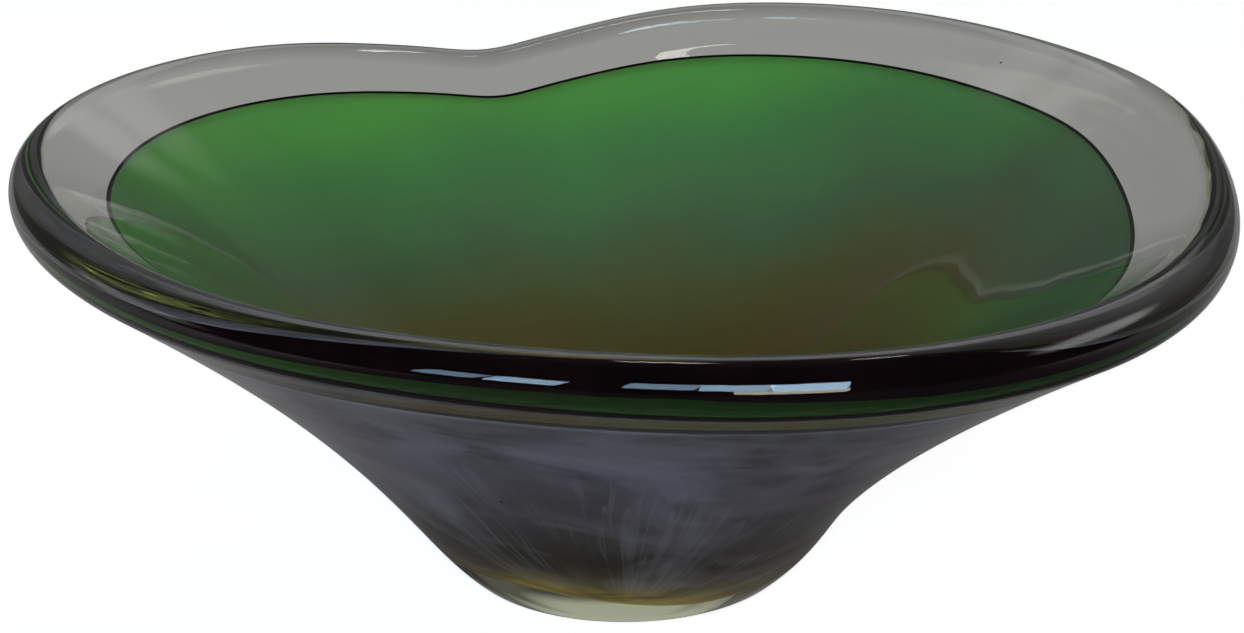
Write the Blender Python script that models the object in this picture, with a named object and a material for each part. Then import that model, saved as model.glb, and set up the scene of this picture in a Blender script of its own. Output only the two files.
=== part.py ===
"""A free-form cased art glass bowl, in metres, +Z up.

The origin is the centre of the foot's ground face. The bowl is described by its
section in each direction round the axis: a flat ground foot, a flaring outer wall,
a heavy rolled rim, a straight clear band and a deep inside. The rim's plan and
height are a circle pulled into lobes. Each layer of glass is a closed solid of its
own, nested in the next with a small gap.
"""
from math import cos, exp, hypot, pi, radians, sin

import bmesh
import bpy

SEGMENTS = 60
GAP = 0.0003

# Rim: the centre line of its rolled edge, higher to the right and to the back.
RIM_RADIUS = 0.122
RIM_HEIGHT = 0.0965
RIM_SHIFT_RIGHT = -0.0035
RIM_TILT_RIGHT = 0.007
RIM_TILT_BACK = 0.003
ROLL_RADIUS = 0.006

# Lobes of the rim: direction and half width in degrees, reach outwards and rise.
FRONT_LOBE = (300, 25, 0.0315, -0.001)
LEFT_LOBE = (155, 23, 0.0115, 0.0045)
LEFT_FLAT = (208, 21, -0.002, 0.0025)
RIGHT_FLAT = (27, 16, -0.0005, -0.0015)
BACK_DENT = (107, 13, -0.008, -0.006)
BACK_NOTCH = (108, 4, 0.0, -0.0012)
LOBES = (FRONT_LOBE, LEFT_LOBE, LEFT_FLAT, RIGHT_FLAT, BACK_DENT, BACK_NOTCH)

# Outer wall: it leaves the foot's rounded edge at one slope and meets the roll
# at another, flatter and with a longer sweep from the foot on the right.
GROUND_RADIUS = 0.0345
FOOT_EDGE_RADIUS = 0.005
FOOT_SLOPE = 41
FOOT_PULL = 0.027
FOOT_PULL_RIGHT = 0.006
RIM_SLOPE = 32.5
RIM_SLOPE_RIGHT = -4
RIM_PULL = 0.090

# Inside: a straight clear band below the roll, narrower at the dent, then one
# curve to the bottom, which is flat for longer on the left.
BAND_SLOPE = 35
BAND_WIDTH = 0.0160
BAND_PINCH = 0.0022
FLOOR_HEIGHT = 0.0175
FLOOR_PULL = 0.047
FLOOR_PULL_RIGHT = -0.005
WALL_PULL = 0.062

# Layers, counted outwards from the inside surface.
LINING = 0.0012
GREEN = 0.0010
LILAC = 0.0012
LINING_OVERLAP = 0.004
WRAP_WIDTH = 0.0008

# Steps along each stretch of the section.
EDGE_STEPS = 3
WALL_STEPS = 10
ROLL_STEPS = 9
CUP_STEPS = 11


def clear_scene():
    for old in list(bpy.data.objects):
        bpy.data.objects.remove(old, do_unlink=True)


def glass(name, colour, roughness):
    made = bpy.data.materials.new(name)
    made.use_nodes = True
    shader = made.node_tree.nodes["Principled BSDF"]
    shader.inputs["Base Color"].default_value = (*colour, 1)
    shader.inputs["Roughness"].default_value = roughness
    shader.inputs["Metallic"].default_value = 0
    return made


def lobe_share(angle, lobe):
    """How much of a lobe is felt in a direction, from 0 to 1 at its middle."""
    turn = (angle - lobe[0] + 180) % 360 - 180
    return exp(-0.5 * (turn / lobe[1]) ** 2)


def rim_centre(angle):
    """Radius and height of the middle of the roll, in a direction in degrees."""
    right, back = cos(radians(angle)), sin(radians(angle))
    radius = RIM_RADIUS + RIM_SHIFT_RIGHT * right
    height = RIM_HEIGHT + RIM_TILT_RIGHT * right + RIM_TILT_BACK * back
    for lobe in LOBES:
        share = lobe_share(angle, lobe)
        radius += lobe[2] * share
        height += lobe[3] * share
    return radius, height


def step_from(start, slope, distance):
    """The point at a distance from a start, along a slope in degrees."""
    return (
        start[0] + distance * cos(radians(slope)),
        start[1] + distance * sin(radians(slope)),
    )


def curve(a, b, c, d, t):
    """A point of a cubic Bezier curve, and its outward normal there."""
    u = 1 - t
    point = [
        u**3 * a[k] + 3 * u * u * t * b[k] + 3 * u * t * t * c[k] + t**3 * d[k]
        for k in range(2)
    ]
    way = [
        u * u * (b[k] - a[k]) + 2 * u * t * (c[k] - b[k]) + t * t * (d[k] - c[k])
        for k in range(2)
    ]
    size = hypot(*way)
    return point, (way[1] / size, -way[0] / size)


def outer_wall(angle):
    """The foot's rounded edge and the outer wall, from the ground up to the roll."""
    right = cos(radians(angle))
    points = []
    for step in range(EDGE_STEPS):
        lean = radians(FOOT_SLOPE * step / EDGE_STEPS)
        points.append(
            (
                GROUND_RADIUS + FOOT_EDGE_RADIUS * sin(lean),
                FOOT_EDGE_RADIUS * (1 - cos(lean)),
            )
        )
    rim_slope = RIM_SLOPE + RIM_SLOPE_RIGHT * right
    foot = (
        GROUND_RADIUS + FOOT_EDGE_RADIUS * sin(radians(FOOT_SLOPE)),
        FOOT_EDGE_RADIUS * (1 - cos(radians(FOOT_SLOPE))),
    )
    above_foot = step_from(foot, FOOT_SLOPE, FOOT_PULL + FOOT_PULL_RIGHT * right)
    top = step_from(rim_centre(angle), rim_slope - 90, ROLL_RADIUS)
    below_rim = step_from(top, rim_slope, -RIM_PULL)
    for step in range(WALL_STEPS + 1):
        points.append(curve(foot, above_foot, below_rim, top, step / WALL_STEPS)[0])
    return points


def roll(angle):
    """The rolled rim, from the top of the outer wall over to the band."""
    start = RIM_SLOPE + RIM_SLOPE_RIGHT * cos(radians(angle)) - 90
    end = 90 + BAND_SLOPE
    middle = rim_centre(angle)
    return [
        step_from(middle, start + (end - start) * step / ROLL_STEPS, ROLL_RADIUS)
        for step in range(1, ROLL_STEPS)
    ]


def band_width(angle):
    return BAND_WIDTH - BAND_PINCH * lobe_share(angle, BACK_DENT)


def band_point(angle, above_lip, depth):
    """A point of the clear band, a distance above the lip and a depth inside it."""
    top = step_from(rim_centre(angle), 90 + BAND_SLOPE, ROLL_RADIUS)
    point = step_from(top, BAND_SLOPE, above_lip - band_width(angle))
    return step_from(point, BAND_SLOPE - 90, depth)


def cup_point(angle, share, depth):
    """A point of the inside below the band: share 0 is the axis and 1 the lip."""
    lip = band_point(angle, 0, 0)
    floor_pull = FLOOR_PULL + FLOOR_PULL_RIGHT * cos(radians(angle))
    point, normal = curve(
        (0, FLOOR_HEIGHT),
        (floor_pull, FLOOR_HEIGHT),
        step_from(lip, BAND_SLOPE, -WALL_PULL),
        lip,
        share,
    )
    return point[0] + depth * normal[0], point[1] + depth * normal[1]


def cup_line(angle, depth):
    """The inside at a depth in the glass, from next to the axis to the lip."""
    return [cup_point(angle, k / CUP_STEPS, depth) for k in range(1, CUP_STEPS + 1)]


def solid(name, sections, bottom, top, finish):
    """A closed solid round the axis.

    sections holds one list of (radius, height) points for each direction. bottom
    and top are the heights where the skin meets the axis, or None for a ring.
    """
    shape = bmesh.new()
    rings = []
    for k in range(len(sections[0])):
        ring = []
        for turn, section in enumerate(sections):
            angle = 2 * pi * turn / SEGMENTS
            radius, height = section[k]
            ring.append(shape.verts.new((radius * cos(angle), radius * sin(angle), height)))
        rings.append(ring)
    pairs = list(zip(rings, rings[1:]))
    if bottom is None:
        pairs.append((rings[-1], rings[0]))
    for lower, upper in pairs:
        for k in range(SEGMENTS):
            after = (k + 1) % SEGMENTS
            shape.faces.new((lower[k], lower[after], upper[after], upper[k]))
    if bottom is not None:
        low, high = shape.verts.new((0, 0, bottom)), shape.verts.new((0, 0, top))
        for k in range(SEGMENTS):
            after = (k + 1) % SEGMENTS
            shape.faces.new((low, rings[0][after], rings[0][k]))
            shape.faces.new((high, rings[-1][k], rings[-1][after]))
    mesh = bpy.data.meshes.new(name)
    shape.to_mesh(mesh)
    shape.free()
    mesh.shade_smooth()
    mesh.set_sharp_from_angle(angle=radians(40))
    mesh.materials.append(finish)
    made = bpy.data.objects.new(name, mesh)
    bpy.context.scene.collection.objects.link(made)
    return made


def each_direction(section):
    return [section(360 * turn / SEGMENTS) for turn in range(SEGMENTS)]


GREEN_TOP = LINING + GAP
LILAC_TOP = GREEN_TOP + GREEN + GAP
RECESS = LILAC_TOP + LILAC + GAP


def outer_casing():
    """The last gather: foot, outer skin, rolled rim, and the recess for the rest."""
    lining_edge = LINING_OVERLAP + GAP
    wrap_edge = WRAP_WIDTH + 2 * GAP

    def section(angle):
        down = [
            band_point(angle, band_width(angle), 0),
            band_point(angle, (band_width(angle) + lining_edge) / 2, 0),
            band_point(angle, lining_edge, 0),
            band_point(angle, lining_edge, GREEN_TOP),
            band_point(angle, wrap_edge, GREEN_TOP),
            band_point(angle, wrap_edge, RECESS),
        ]
        cup = cup_line(angle, RECESS)[::-1]
        return outer_wall(angle) + roll(angle) + down + cup

    return solid(
        "clear_outer_casing",
        each_direction(section),
        0,
        FLOOR_HEIGHT - RECESS,
        glass("casing_glass", (0.72, 0.74, 0.70), 0.05),
    )


def cup_layer(name, depth, thickness, finish):
    """A colour cup that lies between two depths and ends at the lip."""

    def section(angle):
        return cup_line(angle, depth + thickness) + cup_line(angle, depth)[::-1]

    return solid(
        name,
        each_direction(section),
        FLOOR_HEIGHT - depth - thickness,
        FLOOR_HEIGHT - depth,
        finish,
    )


def lip_wrap():
    """The thin plum edge that closes the lip of both colour cups."""
    low, high = GAP, GAP + WRAP_WIDTH
    shallow, deep = GREEN_TOP, LILAC_TOP + LILAC

    def section(angle):
        return [
            band_point(angle, low, deep),
            band_point(angle, high, deep),
            band_point(angle, high, shallow),
            band_point(angle, low, shallow),
        ]

    return solid(
        "plum_lip_wrap",
        each_direction(section),
        None,
        None,
        glass("plum_glass", (0.10, 0.02, 0.05), 0.2),
    )


def inner_lining():
    """The clear skin over the colour, lapped a little over the lip."""

    def section(angle):
        under = cup_line(angle, LINING) + [band_point(angle, LINING_OVERLAP, LINING)]
        over = [band_point(angle, LINING_OVERLAP, 0)] + cup_line(angle, 0)[::-1]
        return under + over

    return solid(
        "clear_inner_lining",
        each_direction(section),
        FLOOR_HEIGHT - LINING,
        FLOOR_HEIGHT,
        glass("lining_glass", (0.74, 0.78, 0.70), 0.04),
    )


def main():
    clear_scene()
    outer_casing()
    cup_layer("lilac_layer", LILAC_TOP, LILAC, glass("lilac_glass", (0.34, 0.31, 0.38), 0.25))
    cup_layer("green_layer", GREEN_TOP, GREEN, glass("green_glass", (0.10, 0.32, 0.06), 0.15))
    lip_wrap()
    inner_lining()


main()
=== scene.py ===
"""A free-form cased art glass bowl: its looks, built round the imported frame.

The clear glass is one closed body with a heavy rolled rim. The green and lilac
layers and the plum edge are thin closed shells inside that glass, as they are in
the real bowl. The section's driving dimensions are those of the CAD part, so the
fine surfaces lie on its skin.
"""
from math import cos, exp, hypot, pi, radians, sin

import bmesh
import bpy
from mathutils import Matrix, Vector


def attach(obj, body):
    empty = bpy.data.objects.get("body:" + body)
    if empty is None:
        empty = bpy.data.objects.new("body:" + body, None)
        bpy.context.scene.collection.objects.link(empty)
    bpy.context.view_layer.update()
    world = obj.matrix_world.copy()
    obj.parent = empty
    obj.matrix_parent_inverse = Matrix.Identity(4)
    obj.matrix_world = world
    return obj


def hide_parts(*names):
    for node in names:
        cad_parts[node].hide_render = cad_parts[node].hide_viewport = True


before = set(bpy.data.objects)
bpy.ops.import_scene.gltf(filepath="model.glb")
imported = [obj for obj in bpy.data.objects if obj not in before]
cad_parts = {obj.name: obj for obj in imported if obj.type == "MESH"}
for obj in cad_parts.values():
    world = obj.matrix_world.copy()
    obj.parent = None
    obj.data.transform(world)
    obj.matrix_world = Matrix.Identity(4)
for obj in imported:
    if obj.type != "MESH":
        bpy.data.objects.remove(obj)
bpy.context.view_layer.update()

# The bowl's section, as in the CAD part, in metres and degrees.
RIM_RADIUS = 0.122
RIM_HEIGHT = 0.0965
RIM_SHIFT_RIGHT = -0.0035
RIM_TILT_RIGHT = 0.007
RIM_TILT_BACK = 0.003
ROLL_RADIUS = 0.0059
FRONT_LOBE = (300, 25, 0.0315, -0.001)
LEFT_LOBE = (155, 23, 0.0115, 0.0045)
LEFT_FLAT = (208, 21, -0.002, 0.0025)
RIGHT_FLAT = (27, 16, -0.0005, -0.0015)
BACK_DENT = (107, 13, -0.008, -0.006)
BACK_NOTCH = (108, 4, 0.0, -0.0012)
LOBES = (FRONT_LOBE, LEFT_LOBE, LEFT_FLAT, RIGHT_FLAT, BACK_DENT, BACK_NOTCH)
GROUND_RADIUS = 0.0345
FOOT_EDGE_RADIUS = 0.005
FOOT_SLOPE = 41
FOOT_PULL = 0.027
FOOT_PULL_RIGHT = 0.006
RIM_SLOPE = 32.5
RIM_SLOPE_RIGHT = -4
RIM_PULL = 0.090
BAND_SLOPE = 35
BAND_WIDTH = 0.0160
BAND_PINCH = 0.0022
FLOOR_HEIGHT = 0.0175
FLOOR_PULL = 0.047
FLOOR_PULL_RIGHT = -0.005
WALL_PULL = 0.062

# Depths of the layers below the inside surface.
GREEN_DEPTH = 0.0014
GREEN_THICKNESS = 0.0011
LILAC_DEPTH = 0.0026
LILAC_THICKNESS = 0.0014
LILAC_SAG = 0.0009
WRAP_WIDTH = 0.0008

# How fine the meshes are.
SEGMENTS = 288
EDGE_STEPS = 8
WALL_STEPS = 44
ROLL_STEPS = 36
BAND_STEPS = 10
CUP_STEPS = 56


def lobe_share(angle, lobe):
    """How much of a lobe is felt in a direction, from 0 to 1 at its middle."""
    turn = (angle - lobe[0] + 180) % 360 - 180
    return exp(-0.5 * (turn / lobe[1]) ** 2)


def rim_centre(angle):
    """Radius and height of the middle of the roll, in a direction in degrees."""
    right, back = cos(radians(angle)), sin(radians(angle))
    radius = RIM_RADIUS + RIM_SHIFT_RIGHT * right
    height = RIM_HEIGHT + RIM_TILT_RIGHT * right + RIM_TILT_BACK * back
    for lobe in LOBES:
        share = lobe_share(angle, lobe)
        radius += lobe[2] * share
        height += lobe[3] * share
    return radius, height


def step_from(start, slope, distance):
    """The point at a distance from a start, along a slope in degrees."""
    return (
        start[0] + distance * cos(radians(slope)),
        start[1] + distance * sin(radians(slope)),
    )


def curve(a, b, c, d, t):
    """A point of a cubic Bezier curve, and its outward normal there."""
    u = 1 - t
    point = [
        u**3 * a[k] + 3 * u * u * t * b[k] + 3 * u * t * t * c[k] + t**3 * d[k]
        for k in range(2)
    ]
    way = [
        u * u * (b[k] - a[k]) + 2 * u * t * (c[k] - b[k]) + t * t * (d[k] - c[k])
        for k in range(2)
    ]
    size = hypot(*way)
    return point, (way[1] / size, -way[0] / size)


def outer_wall(angle):
    """The ground face's edge, the foot's rounded edge and the outer wall."""
    right = cos(radians(angle))
    points = [(GROUND_RADIUS * share, 0) for share in (0.5, 0.9)]
    for step in range(EDGE_STEPS):
        lean = radians(FOOT_SLOPE * step / EDGE_STEPS)
        points.append(
            (
                GROUND_RADIUS + FOOT_EDGE_RADIUS * sin(lean),
                FOOT_EDGE_RADIUS * (1 - cos(lean)),
            )
        )
    rim_slope = RIM_SLOPE + RIM_SLOPE_RIGHT * right
    foot = (
        GROUND_RADIUS + FOOT_EDGE_RADIUS * sin(radians(FOOT_SLOPE)),
        FOOT_EDGE_RADIUS * (1 - cos(radians(FOOT_SLOPE))),
    )
    above_foot = step_from(foot, FOOT_SLOPE, FOOT_PULL + FOOT_PULL_RIGHT * right)
    top = step_from(rim_centre(angle), rim_slope - 90, ROLL_RADIUS)
    below_rim = step_from(top, rim_slope, -RIM_PULL)
    for step in range(WALL_STEPS + 1):
        points.append(curve(foot, above_foot, below_rim, top, step / WALL_STEPS)[0])
    return points


def roll(angle):
    """The rolled rim, from the top of the outer wall over to the band."""
    start = RIM_SLOPE + RIM_SLOPE_RIGHT * cos(radians(angle)) - 90
    end = 90 + BAND_SLOPE
    middle = rim_centre(angle)
    return [
        step_from(middle, start + (end - start) * step / ROLL_STEPS, ROLL_RADIUS)
        for step in range(1, ROLL_STEPS)
    ]


def band_width(angle):
    return BAND_WIDTH - BAND_PINCH * lobe_share(angle, BACK_DENT)


def band_point(angle, above_lip, depth):
    """A point of the clear band, a distance above the lip and a depth inside it."""
    top = step_from(rim_centre(angle), 90 + BAND_SLOPE, ROLL_RADIUS)
    point = step_from(top, BAND_SLOPE, above_lip - band_width(angle))
    return step_from(point, BAND_SLOPE - 90, depth)


def cup_point(angle, share, depth):
    """A point of the inside below the band: share 0 is the axis and 1 the lip."""
    lip = band_point(angle, 0, 0)
    floor_pull = FLOOR_PULL + FLOOR_PULL_RIGHT * cos(radians(angle))
    point, normal = curve(
        (0, FLOOR_HEIGHT),
        (floor_pull, FLOOR_HEIGHT),
        step_from(lip, BAND_SLOPE, -WALL_PULL),
        lip,
        share,
    )
    return point[0] + depth * normal[0], point[1] + depth * normal[1]


def cup_line(angle, depth):
    """The inside at a depth in the glass, from next to the axis to the lip."""
    return [cup_point(angle, k / CUP_STEPS, depth) for k in range(1, CUP_STEPS + 1)]


def solid(name, section, bottom, top, finish):
    """A closed solid round the axis.

    section gives the list of (radius, height) points in a direction. bottom and
    top are the heights where the skin meets the axis, or None for a ring.
    """
    sections = [section(360 * turn / SEGMENTS) for turn in range(SEGMENTS)]
    shape = bmesh.new()
    rings = []
    for k in range(len(sections[0])):
        ring = []
        for turn, points in enumerate(sections):
            angle = 2 * pi * turn / SEGMENTS
            radius, height = points[k]
            ring.append(shape.verts.new((radius * cos(angle), radius * sin(angle), height)))
        rings.append(ring)
    pairs = list(zip(rings, rings[1:]))
    if bottom is None:
        pairs.append((rings[-1], rings[0]))
    for lower, upper in pairs:
        for k in range(SEGMENTS):
            after = (k + 1) % SEGMENTS
            shape.faces.new((lower[k], lower[after], upper[after], upper[k]))
    if bottom is not None:
        low, high = shape.verts.new((0, 0, bottom)), shape.verts.new((0, 0, top))
        for k in range(SEGMENTS):
            after = (k + 1) % SEGMENTS
            shape.faces.new((low, rings[0][after], rings[0][k]))
            shape.faces.new((high, rings[-1][k], rings[-1][after]))
    mesh = bpy.data.meshes.new(name)
    shape.to_mesh(mesh)
    shape.free()
    mesh.shade_smooth()
    mesh.materials.append(finish)
    made = bpy.data.objects.new(name, mesh)
    bpy.context.scene.collection.objects.link(made)
    return made


def node(tree, kind, inputs=None, **settings):
    """A new node. Inputs are given as plain values or as sockets to link."""
    made = tree.nodes.new("ShaderNode" + kind)
    for key, value in settings.items():
        setattr(made, key, value)
    for key, value in (inputs or {}).items():
        if isinstance(value, bpy.types.NodeSocket):
            tree.links.new(value, made.inputs[key])
        else:
            made.inputs[key].default_value = value
    return made


def maths(tree, operation, first, second=0.0):
    return node(tree, "Math", {0: first, 1: second}, operation=operation).outputs[0]


def colour_ramp(tree, factor, stops, scale=1.0):
    """Colours along (place, colour) stops, with the places divided by a scale."""
    made = node(tree, "ValToRGB", {0: factor})
    elements = made.color_ramp.elements
    while len(elements) < len(stops):
        elements.new(0.5)
    for element, (place, colour) in zip(elements, stops):
        element.position = place / scale
        element.color = (*colour, 1)
    return made.outputs["Color"]


def blend(tree, share, first, second):
    """One colour mixed into another by a share."""
    made = node(tree, "Mix", data_type="RGBA")
    for key, value in ((0, share), (6, first), (7, second)):
        if isinstance(value, bpy.types.NodeSocket):
            tree.links.new(value, made.inputs[key])
        else:
            made.inputs[key].default_value = value
    return made.outputs[2]


def new_finish(name, **values):
    """A material, its node tree and its shader, with plain values set on the shader."""
    made = bpy.data.materials.new(name)
    made.use_nodes = True
    shader = made.node_tree.nodes["Principled BSDF"]
    for key, value in values.items():
        shader.inputs[key.replace("_", " ")].default_value = value
    return made, made.node_tree, shader


def round_and_up(tree, place, round_scale, up_scale):
    """A vector that turns with the direction round the axis and rises with height."""
    flat = node(tree, "VectorMath", {0: place, 1: (1, 1, 0)}, operation="MULTIPLY")
    turn = node(tree, "VectorMath", {0: flat.outputs[0]}, operation="NORMALIZE")
    wide = node(tree, "VectorMath", {0: turn.outputs[0], "Scale": round_scale}, operation="SCALE")
    rise = node(tree, "VectorMath", {0: place, 1: (0, 0, up_scale)}, operation="MULTIPLY")
    both = node(tree, "VectorMath", {0: wide.outputs[0], 1: rise.outputs[0]}, operation="ADD")
    return both.outputs[0]


def clear_glass():
    """Clear glass with a faint waviness, and fine wear on the ground foot."""
    made, tree, shader = new_finish(
        "clear_glass", Base_Color=(1, 1, 1, 1), Roughness=0.0, Transmission_Weight=1.0, IOR=1.5
    )
    place = node(tree, "TexCoord").outputs["Object"]
    split = node(tree, "SeparateXYZ", {0: place})
    waves = node(tree, "TexNoise", {"Vector": place, "Scale": 45, "Detail": 1})
    wavy = node(tree, "Bump", {"Height": waves.outputs[0], "Strength": 0.5, "Distance": 0.0003})
    worn = {"Value": split.outputs["Z"], "From Min": 0.0016, "From Max": 0.0002}
    low = node(tree, "MapRange", worn).outputs[0]
    scuffs = node(tree, "TexNoise", {"Vector": place, "Scale": 1800, "Detail": 4})
    scuffed = {"Height": scuffs.outputs[0], "Strength": low, "Distance": 0.0003}
    both = node(tree, "Bump", {**scuffed, "Normal": wavy.outputs[0]})
    tree.links.new(both.outputs[0], shader.inputs["Normal"])
    haze = node(tree, "VolumeAbsorption", {"Color": (0.70, 0.72, 0.56, 1), "Density": 24})
    tree.links.new(haze.outputs[0], tree.nodes["Material Output"].inputs["Volume"])
    return made


# Green layer: colours from the bottom of the bowl to the lip.
GREEN_STOPS = (
    (0.008, (0.260, 0.150, 0.028)),
    (0.037, (0.400, 0.245, 0.070)),
    (0.054, (0.330, 0.275, 0.088)),
    (0.070, (0.245, 0.350, 0.150)),
    (0.085, (0.210, 0.500, 0.150)),
    (0.101, (0.250, 0.660, 0.135)),
)
# The stops are read at a level made of right, back, up and distance from the axis. The back and
# left lean is painted light on the far and left walls; the fall to brown low down is partly the
# glass's own colour and partly painted shade.
GREEN_LEAN = (-0.06, 0.20, 0.5)
GREEN_REACH = 0.35
FRONT_LIMIT = (-1, -0.02, -1)
# Dark green blended into the front of the green layer: painted shade on the near side.
FRONT_PAINTED_SHADE = (0.02, 0.06, 0.02, 1)


def green_glass():
    """Green at the lip, teal and olive lower down, brown at the bottom; painted lighter at the
    back and left, painted shade at the front.
    """
    made, tree, shader = new_finish("green_glass", Roughness=0.6, Specular_IOR_Level=0)
    place = node(tree, "TexCoord").outputs["Object"]
    cloud = node(tree, "TexNoise", {"Vector": place, "Scale": 22, "Detail": 3, "Roughness": 0.5})
    clamped = node(tree, "VectorMath", {0: place, 1: FRONT_LIMIT}, operation="MAXIMUM")
    leaning = {0: clamped.outputs[0], 1: GREEN_LEAN}
    lean = node(tree, "VectorMath", leaning, operation="DOT_PRODUCT").outputs["Value"]
    flat = node(tree, "VectorMath", {0: place, 1: (1, 1, 0)}, operation="MULTIPLY")
    reach = node(tree, "VectorMath", {0: flat.outputs[0]}, operation="LENGTH").outputs["Value"]
    height = maths(tree, "ADD", lean, maths(tree, "MULTIPLY", reach, GREEN_REACH))
    drift = maths(tree, "MULTIPLY", maths(tree, "SUBTRACT", cloud.outputs[0], 0.5), 0.03)
    level = maths(tree, "MULTIPLY", maths(tree, "ADD", height, drift), 10)
    colour = colour_ramp(tree, level, GREEN_STOPS, 0.1)
    split = node(tree, "SeparateXYZ", {0: place})
    # Painted shade: the green is darkened towards the front, where the near wall is in shade.
    front = {"Value": split.outputs["Y"], "From Min": -0.03, "From Max": -0.11, "To Max": 0.75}
    dark = node(tree, "MapRange", front).outputs[0]
    deep = blend(tree, dark, colour, FRONT_PAINTED_SHADE)
    tree.links.new(deep, shader.inputs["Base Color"])
    return made


# Lilac layer: colours by height, from the ochre fringe over the foot up to the lip. The pale
# yellow at the foot is painted light, standing in for light seen through the clear foot.
LILAC_STOPS = (
    (0.0136, (0.950, 0.850, 0.350)),
    (0.0146, (0.800, 0.600, 0.170)),
    (0.0165, (0.420, 0.370, 0.210)),
    (0.0205, (0.170, 0.150, 0.100)),
    (0.0255, (0.100, 0.078, 0.062)),
    (0.0320, (0.170, 0.134, 0.128)),
    (0.0500, (0.320, 0.262, 0.322)),
    (0.0680, (0.530, 0.472, 0.655)),
    (0.0850, (0.245, 0.240, 0.285)),
    (0.0940, (0.110, 0.115, 0.120)),
)
# Pale veil colour of the clouds, folds and wisps; also blended in at the sides as painted light.
WISP_AND_PAINTED_LIGHT_COLOUR = (0.80, 0.74, 0.92, 1)
SHADE_COLOUR = (0.085, 0.070, 0.072, 1)


def ridge(tree, value, width):
    """Thin lines where a noise passes its middle value."""
    away = maths(tree, "ABSOLUTE", maths(tree, "SUBTRACT", value, 0.5))
    line = node(
        tree,
        "MapRange",
        {"Value": away, "From Max": width, "To Min": 1, "To Max": 0},
        interpolation_type="SMOOTHSTEP",
    )
    return line.outputs[0]


def lilac_glass():
    """A smoky veil: clouds, folds under the rim, wisps off the foot; painted light makes it paler
    at the sides and pale over the foot.
    """
    made, tree, shader = new_finish("lilac_glass", Roughness=0.6, Specular_IOR_Level=0)
    place = node(tree, "TexCoord").outputs["Object"]
    split = node(tree, "SeparateXYZ", {0: place})

    sway = node(tree, "TexNoise", {"Vector": round_and_up(tree, place, 3, 0), "Scale": 1})
    shift = maths(tree, "MULTIPLY", maths(tree, "SUBTRACT", sway.outputs[0], 0.5), 0.005)
    level = maths(tree, "MULTIPLY", maths(tree, "ADD", split.outputs["Z"], shift), 10)
    base = colour_ramp(tree, level, LILAC_STOPS, 0.1)
    low = node(
        tree, "MapRange", {"Value": split.outputs["Z"], "From Min": 0.075, "From Max": 0.050}
    ).outputs[0]
    high = maths(tree, "SUBTRACT", 1, low)

    soft = node(tree, "TexNoise", {"Vector": place, "Scale": 34, "Detail": 7, "Distortion": 0.6})
    dark = colour_ramp(tree, soft.outputs[0], ((0.36, (1, 1, 1)), (0.50, (0, 0, 0))))
    light = colour_ramp(tree, soft.outputs[0], ((0.50, (0, 0, 0)), (0.70, (1, 1, 1))))
    shaded = blend(tree, maths(tree, "MULTIPLY", dark, 0.75), base, SHADE_COLOUR)
    clouded = blend(tree, maths(tree, "MULTIPLY", light, 0.50), shaded, WISP_AND_PAINTED_LIGHT_COLOUR)

    fold = {"Vector": round_and_up(tree, place, 2.5, 150), "Scale": 1, "Distortion": 0.9}
    folds = node(tree, "TexNoise", {**fold, "Detail": 3})
    band = colour_ramp(tree, folds.outputs[0], ((0.45, (0, 0, 0)), (0.68, (1, 1, 1))))
    banding = maths(tree, "MULTIPLY", maths(tree, "MULTIPLY", band, high), 0.35)
    folded = blend(tree, banding, clouded, WISP_AND_PAINTED_LIGHT_COLOUR)

    pull = {"Vector": round_and_up(tree, place, 17, 20), "Scale": 1, "Distortion": 0.9}
    drawn = node(tree, "TexNoise", {**pull, "Detail": 2})
    wide = node(tree, "TexNoise", {"Vector": place, "Scale": 40, "Detail": 2})
    where = colour_ramp(tree, wide.outputs[0], ((0.40, (0, 0, 0)), (0.58, (1, 1, 1))))
    lines = maths(tree, "MULTIPLY", ridge(tree, drawn.outputs[0], 0.055), where)
    wisps = maths(tree, "MULTIPLY", maths(tree, "MULTIPLY", lines, low), 0.26)
    wisped = blend(tree, wisps, folded, WISP_AND_PAINTED_LIGHT_COLOUR)

    # Painted light: the veil is blended paler towards both sides, as lit from the sides.
    aside = maths(tree, "ABSOLUTE", split.outputs["X"])
    flank_painted_light = {"Value": aside, "From Min": 0.015, "From Max": 0.060, "To Max": 0.28}
    share = node(tree, "MapRange", flank_painted_light).outputs[0]
    flank_lit = blend(tree, share, wisped, WISP_AND_PAINTED_LIGHT_COLOUR)
    tree.links.new(flank_lit, shader.inputs["Base Color"])
    return made


def clouded_glass(name, first, second, scale):
    """Dark glass whose colour drifts between two tones."""
    made, tree, shader = new_finish(name, Roughness=0.6, Specular_IOR_Level=0)
    place = node(tree, "TexCoord").outputs["Object"]
    cloud = node(tree, "TexNoise", {"Vector": place, "Scale": scale, "Detail": 3})
    tones = colour_ramp(tree, cloud.outputs[0], ((0.35, first), (0.65, second)))
    tree.links.new(tones, shader.inputs["Base Color"])
    return made


def plum_glass():
    return clouded_glass("plum_glass", (0.006, 0.002, 0.003), (0.015, 0.004, 0.007), 60)


def glass_body():
    """The whole clear glass: foot, outer wall, rolled rim, band and inside."""

    def section(angle):
        band = [
            band_point(angle, band_width(angle) * (1 - k / BAND_STEPS), 0)
            for k in range(BAND_STEPS)
        ]
        return outer_wall(angle) + roll(angle) + band + cup_line(angle, 0)[::-1]

    return solid("clear_glass_body", section, 0, FLOOR_HEIGHT, clear_glass())


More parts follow.
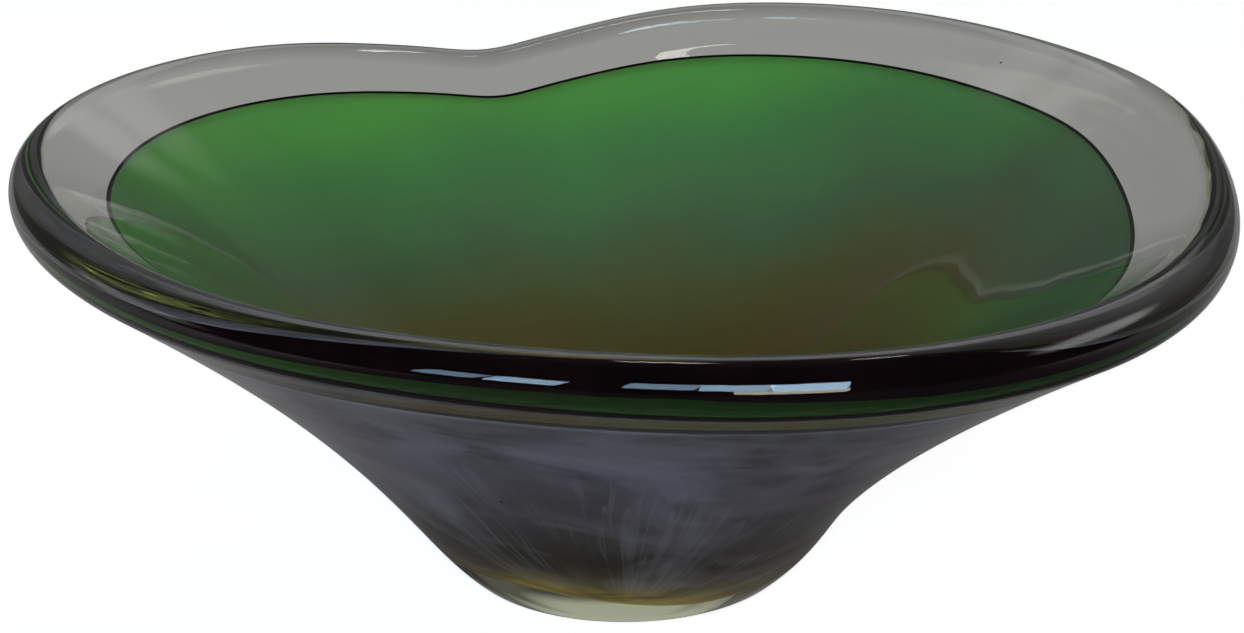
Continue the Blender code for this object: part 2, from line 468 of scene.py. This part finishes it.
def layer(name, depth, thickness, finish, sag=0.0):
    """A colour cup; a sag makes its wall thicker low on the left, thinner on the right."""

    def section(angle):
        under = []
        for k in range(1, CUP_STEPS + 1):
            share = k / CUP_STEPS
            extra = -sag * cos(radians(angle)) * sin(pi * share) ** 2
            under.append(cup_point(angle, share, depth + thickness + extra))
        return under + cup_line(angle, depth)[::-1]

    return solid(name, section, FLOOR_HEIGHT - depth - thickness, FLOOR_HEIGHT - depth, finish)


def plum_edge():
    """The thin ring that closes the lip of both colour cups."""
    deep = LILAC_DEPTH + LILAC_THICKNESS

    def section(angle):
        return [
            band_point(angle, 0, deep),
            band_point(angle, WRAP_WIDTH, deep),
            band_point(angle, WRAP_WIDTH, GREEN_DEPTH),
            band_point(angle, 0, GREEN_DEPTH),
        ]

    return solid("plum_edge", section, None, None, plum_glass())


def seed(name, angle, place, size, finish):
    """A tiny dark speck caught in the glass at a (radius, height) place."""
    shape = bmesh.new()
    bmesh.ops.create_icosphere(shape, subdivisions=2, radius=size / 2)
    mesh = bpy.data.meshes.new(name)
    shape.to_mesh(mesh)
    shape.free()
    mesh.shade_smooth()
    mesh.materials.append(finish)
    made = bpy.data.objects.new(name, mesh)
    radius, height = place
    made.location = (radius * cos(radians(angle)), radius * sin(radians(angle)), height)
    bpy.context.scene.collection.objects.link(made)
    return made


body = glass_body()
green = layer("green_cup", GREEN_DEPTH, GREEN_THICKNESS, green_glass())
lilac = layer("lilac_cup", LILAC_DEPTH, LILAC_THICKNESS, lilac_glass(), LILAC_SAG)
plum = plum_edge()
speck = clouded_glass("speck_glass", (0.008, 0.008, 0.007), (0.024, 0.022, 0.020), 4000)
seeds = (
    seed("band_seed", 33, band_point(33, 0.0095, 0.0012), 0.0006, speck),
    seed("wall_seed", 249, cup_point(249, 0.62, 0.0055), 0.0007, speck),
)

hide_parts("clear_outer_casing", "clear_inner_lining")
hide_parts("green_layer")
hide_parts("lilac_layer")
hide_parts("plum_lip_wrap")
for piece in (body, green, lilac, plum, *seeds):
    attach(piece, "root")


# Stage: floor, light and camera. Directions are azimuth and elevation in degrees,
# azimuth 0 towards the front and growing to the right.
FLOOR_SIZE = 5.0
FLOOR_GAP = 0.0003
FLOOR_SEEN = (0.92, 0.86, 0.82)
FLOOR_GLOW = 0.76
FLOOR_DARK = (0.070, 0.068, 0.066, 1)
FLOOR_LIGHT = (0.345, 0.345, 0.340, 1)
FOOT_GLOW = 0.55
CAMERA_ELEVATION = 18.7
CAMERA_DISTANCE = 0.597
CAMERA_AIM = Vector((-0.0006, 0, 0.0595))
CAMERA_ROLL = -0.7
LENS = 76

WINDOW_BLUE = (0.50, 0.74, 1.0)

# Panels of light: azimuth, elevation, distance, width, height, brightness, colour.
PANELS = {
    "pane_1": (-49, 15, 1.6, 0.17, 0.36, 5.0, WINDOW_BLUE),
    "pane_2": (-41, 15, 1.6, 0.22, 0.40, 10.0, WINDOW_BLUE),
    "pane_3": (-24, 22, 1.6, 0.28, 0.44, 6.0, WINDOW_BLUE),
    "pane_4": (-12.5, 22, 1.6, 0.30, 0.50, 10.0, WINDOW_BLUE),
    "pane_5": (0.5, 22, 1.6, 0.38, 0.56, 14.0, WINDOW_BLUE),
    "low_window": (-2, 8, 1.6, 0.56, 0.26, 8.0, (1.0, 0.94, 0.76)),
    "top_left": (159, 69, 1.2, 0.10, 0.05, 8.0, (1.0, 1.0, 1.0)),
    "top_right": (-160, 67, 1.2, 0.15, 0.05, 8.0, (1.0, 1.0, 1.0)),
}
BACK_LIGHT = 0.10
FRONT_LIGHT = 0.02

# Soft glows of the room: direction, spread and strength.
GLOWS = (
    ((0.04, 0.85, 0.50), (0.45, 0.60, 0.14), 0.78),
    ((0.04, 0.70, 0.63), (0.56, 0.55, 0.14), 0.82),
    ((0.52, 0.62, 0.58), (0.50, 0.50, 0.45), 0.18),
    ((0.82, -0.05, 0.57), (0.34, 0.45, 0.22), 2.6),
    ((-0.95, 0.22, 0.12), (0.40, 0.36, 0.16), 0.8),
)


def floor():
    """A plain pale floor; to light it is dark in front, pale behind, aglow under the foot."""
    mesh = bpy.data.meshes.new("floor")
    half = FLOOR_SIZE / 2
    corners = [(-half, -half), (half, -half), (half, half), (-half, half)]
    mesh.from_pydata([(x, y, -FLOOR_GAP) for x, y in corners], [], [(0, 1, 2, 3)])
    made = bpy.data.objects.new("floor", mesh)
    bpy.context.scene.collection.objects.link(made)
    paint = bpy.data.materials.new("floor_paint")
    paint.use_nodes = True
    tree = paint.node_tree
    tree.nodes.clear()
    place = node(tree, "TexCoord").outputs["Object"]
    split = node(tree, "SeparateXYZ", {0: place})
    aside = maths(tree, "MULTIPLY", maths(tree, "ABSOLUTE", split.outputs["X"]), 0.9)
    away = maths(tree, "ADD", split.outputs["Y"], aside)
    pale = node(tree, "MapRange", {"Value": away, "From Min": 0.02, "From Max": 0.38})
    room = blend(tree, pale.outputs[0], FLOOR_DARK, FLOOR_LIGHT)
    reach = node(tree, "VectorMath", {0: place}, operation="LENGTH").outputs["Value"]
    spot = {"From Min": 0.030, "From Max": 0.042, "To Min": FOOT_GLOW, "To Max": 0}
    under = node(tree, "MapRange", {"Value": reach, **spot}, interpolation_type="SMOOTHSTEP")
    unseen = node(tree, "Emission", {"Color": room})
    below = node(tree, "Emission", {"Color": (1, 0.97, 0.85, 1), "Strength": under.outputs[0]})
    other = node(tree, "AddShader", {0: unseen.outputs[0], 1: below.outputs[0]})
    lit = node(tree, "BsdfDiffuse", {"Color": (*FLOOR_SEEN, 1)})
    bright = node(tree, "Emission", {"Strength": FLOOR_GLOW})
    both = node(tree, "AddShader", {0: lit.outputs[0], 1: bright.outputs[0]})
    seen = node(tree, "LightPath").outputs["Is Camera Ray"]
    mixed = node(tree, "MixShader", {0: seen, 1: other.outputs[0], 2: both.outputs[0]})
    node(tree, "OutputMaterial", {"Surface": mixed.outputs[0]})
    mesh.materials.append(paint)
    return made


def aim(thing, target):
    """Turn a lamp or camera to look at a point."""
    way = Vector(target) - thing.location
    thing.rotation_euler = way.to_track_quat("-Z", "Y").to_euler()


def direction(azimuth, elevation):
    """A unit vector from the bowl, from azimuth and elevation in degrees."""
    turn, lift = radians(azimuth), radians(elevation)
    return Vector((cos(lift) * sin(turn), -cos(lift) * cos(turn), sin(lift)))


def panel(name, azimuth, elevation, distance, width, height, brightness, colour):
    """A soft box of light that faces the bowl."""
    data = bpy.data.lights.new(name, "AREA")
    data.shape = "RECTANGLE"
    data.size, data.size_y = width, height
    data.energy = brightness * pi * width * height
    data.color = colour
    made = bpy.data.objects.new(name, data)
    made.location = CAMERA_AIM + distance * direction(azimuth, elevation)
    made.visible_camera = False
    bpy.context.scene.collection.objects.link(made)
    aim(made, CAMERA_AIM)
    return made


def glow(tree, way, centre, spread, strength):
    """Light from round one direction that fades out over a spread."""
    off = node(tree, "VectorMath", {0: way, 1: centre}, operation="SUBTRACT")
    scaled = node(tree, "VectorMath", {0: off.outputs[0], 1: spread}, operation="DIVIDE")
    size = node(tree, "VectorMath", {0: scaled.outputs[0]}, operation="LENGTH")
    fade = node(
        tree,
        "MapRange",
        {"Value": size.outputs["Value"], "From Min": 0.45, "To Min": strength, "To Max": 0},
        interpolation_type="SMOOTHSTEP",
    )
    return fade.outputs[0]


def world_light():
    """Dim light from all round with a few soft glows, white where seen."""
    world = bpy.data.worlds.new("studio")
    world.use_nodes = True
    tree = world.node_tree
    tree.nodes.clear()
    way = node(tree, "TexCoord").outputs["Generated"]
    split = node(tree, "SeparateXYZ", {0: way})
    ends = {"From Min": 0.0, "From Max": 0.8, "To Min": FRONT_LIGHT, "To Max": BACK_LIGHT}
    level = node(tree, "MapRange", {"Value": split.outputs["Y"], **ends}).outputs[0]
    for centre, spread, strength in GLOWS:
        level = maths(tree, "MAXIMUM", level, glow(tree, way, centre, spread, strength))
    soft = node(tree, "Background", {"Color": (1, 1, 1, 1), "Strength": level})
    white = node(tree, "Background", {"Color": (1, 1, 1, 1)})
    seen = node(tree, "LightPath").outputs["Is Camera Ray"]
    mixed = node(tree, "MixShader", {0: seen, 1: soft.outputs[0], 2: white.outputs[0]})
    node(tree, "OutputWorld", {"Surface": mixed.outputs[0]})
    bpy.context.scene.world = world


def camera():
    """The camera at the photo's viewing angle."""
    data = bpy.data.cameras.new("camera")
    data.lens = LENS
    data.sensor_width = 36
    made = bpy.data.objects.new("camera", data)
    made.location = CAMERA_AIM + CAMERA_DISTANCE * direction(0, CAMERA_ELEVATION)
    bpy.context.scene.collection.objects.link(made)
    aim(made, CAMERA_AIM)
    turned = made.rotation_euler.to_matrix() @ Matrix.Rotation(radians(CAMERA_ROLL), 3, "Z")
    made.rotation_euler = turned.to_euler()
    bpy.context.scene.camera = made


floor()
world_light()
for name, values in PANELS.items():
    panel(name, *values)
camera()
scene = bpy.context.scene
scene.view_settings.view_transform = "Standard"
scene.cycles.use_denoising = True
scene.cycles.max_bounces = 24
scene.cycles.transmission_bounces = 24
scene.cycles.glossy_bounces = 8
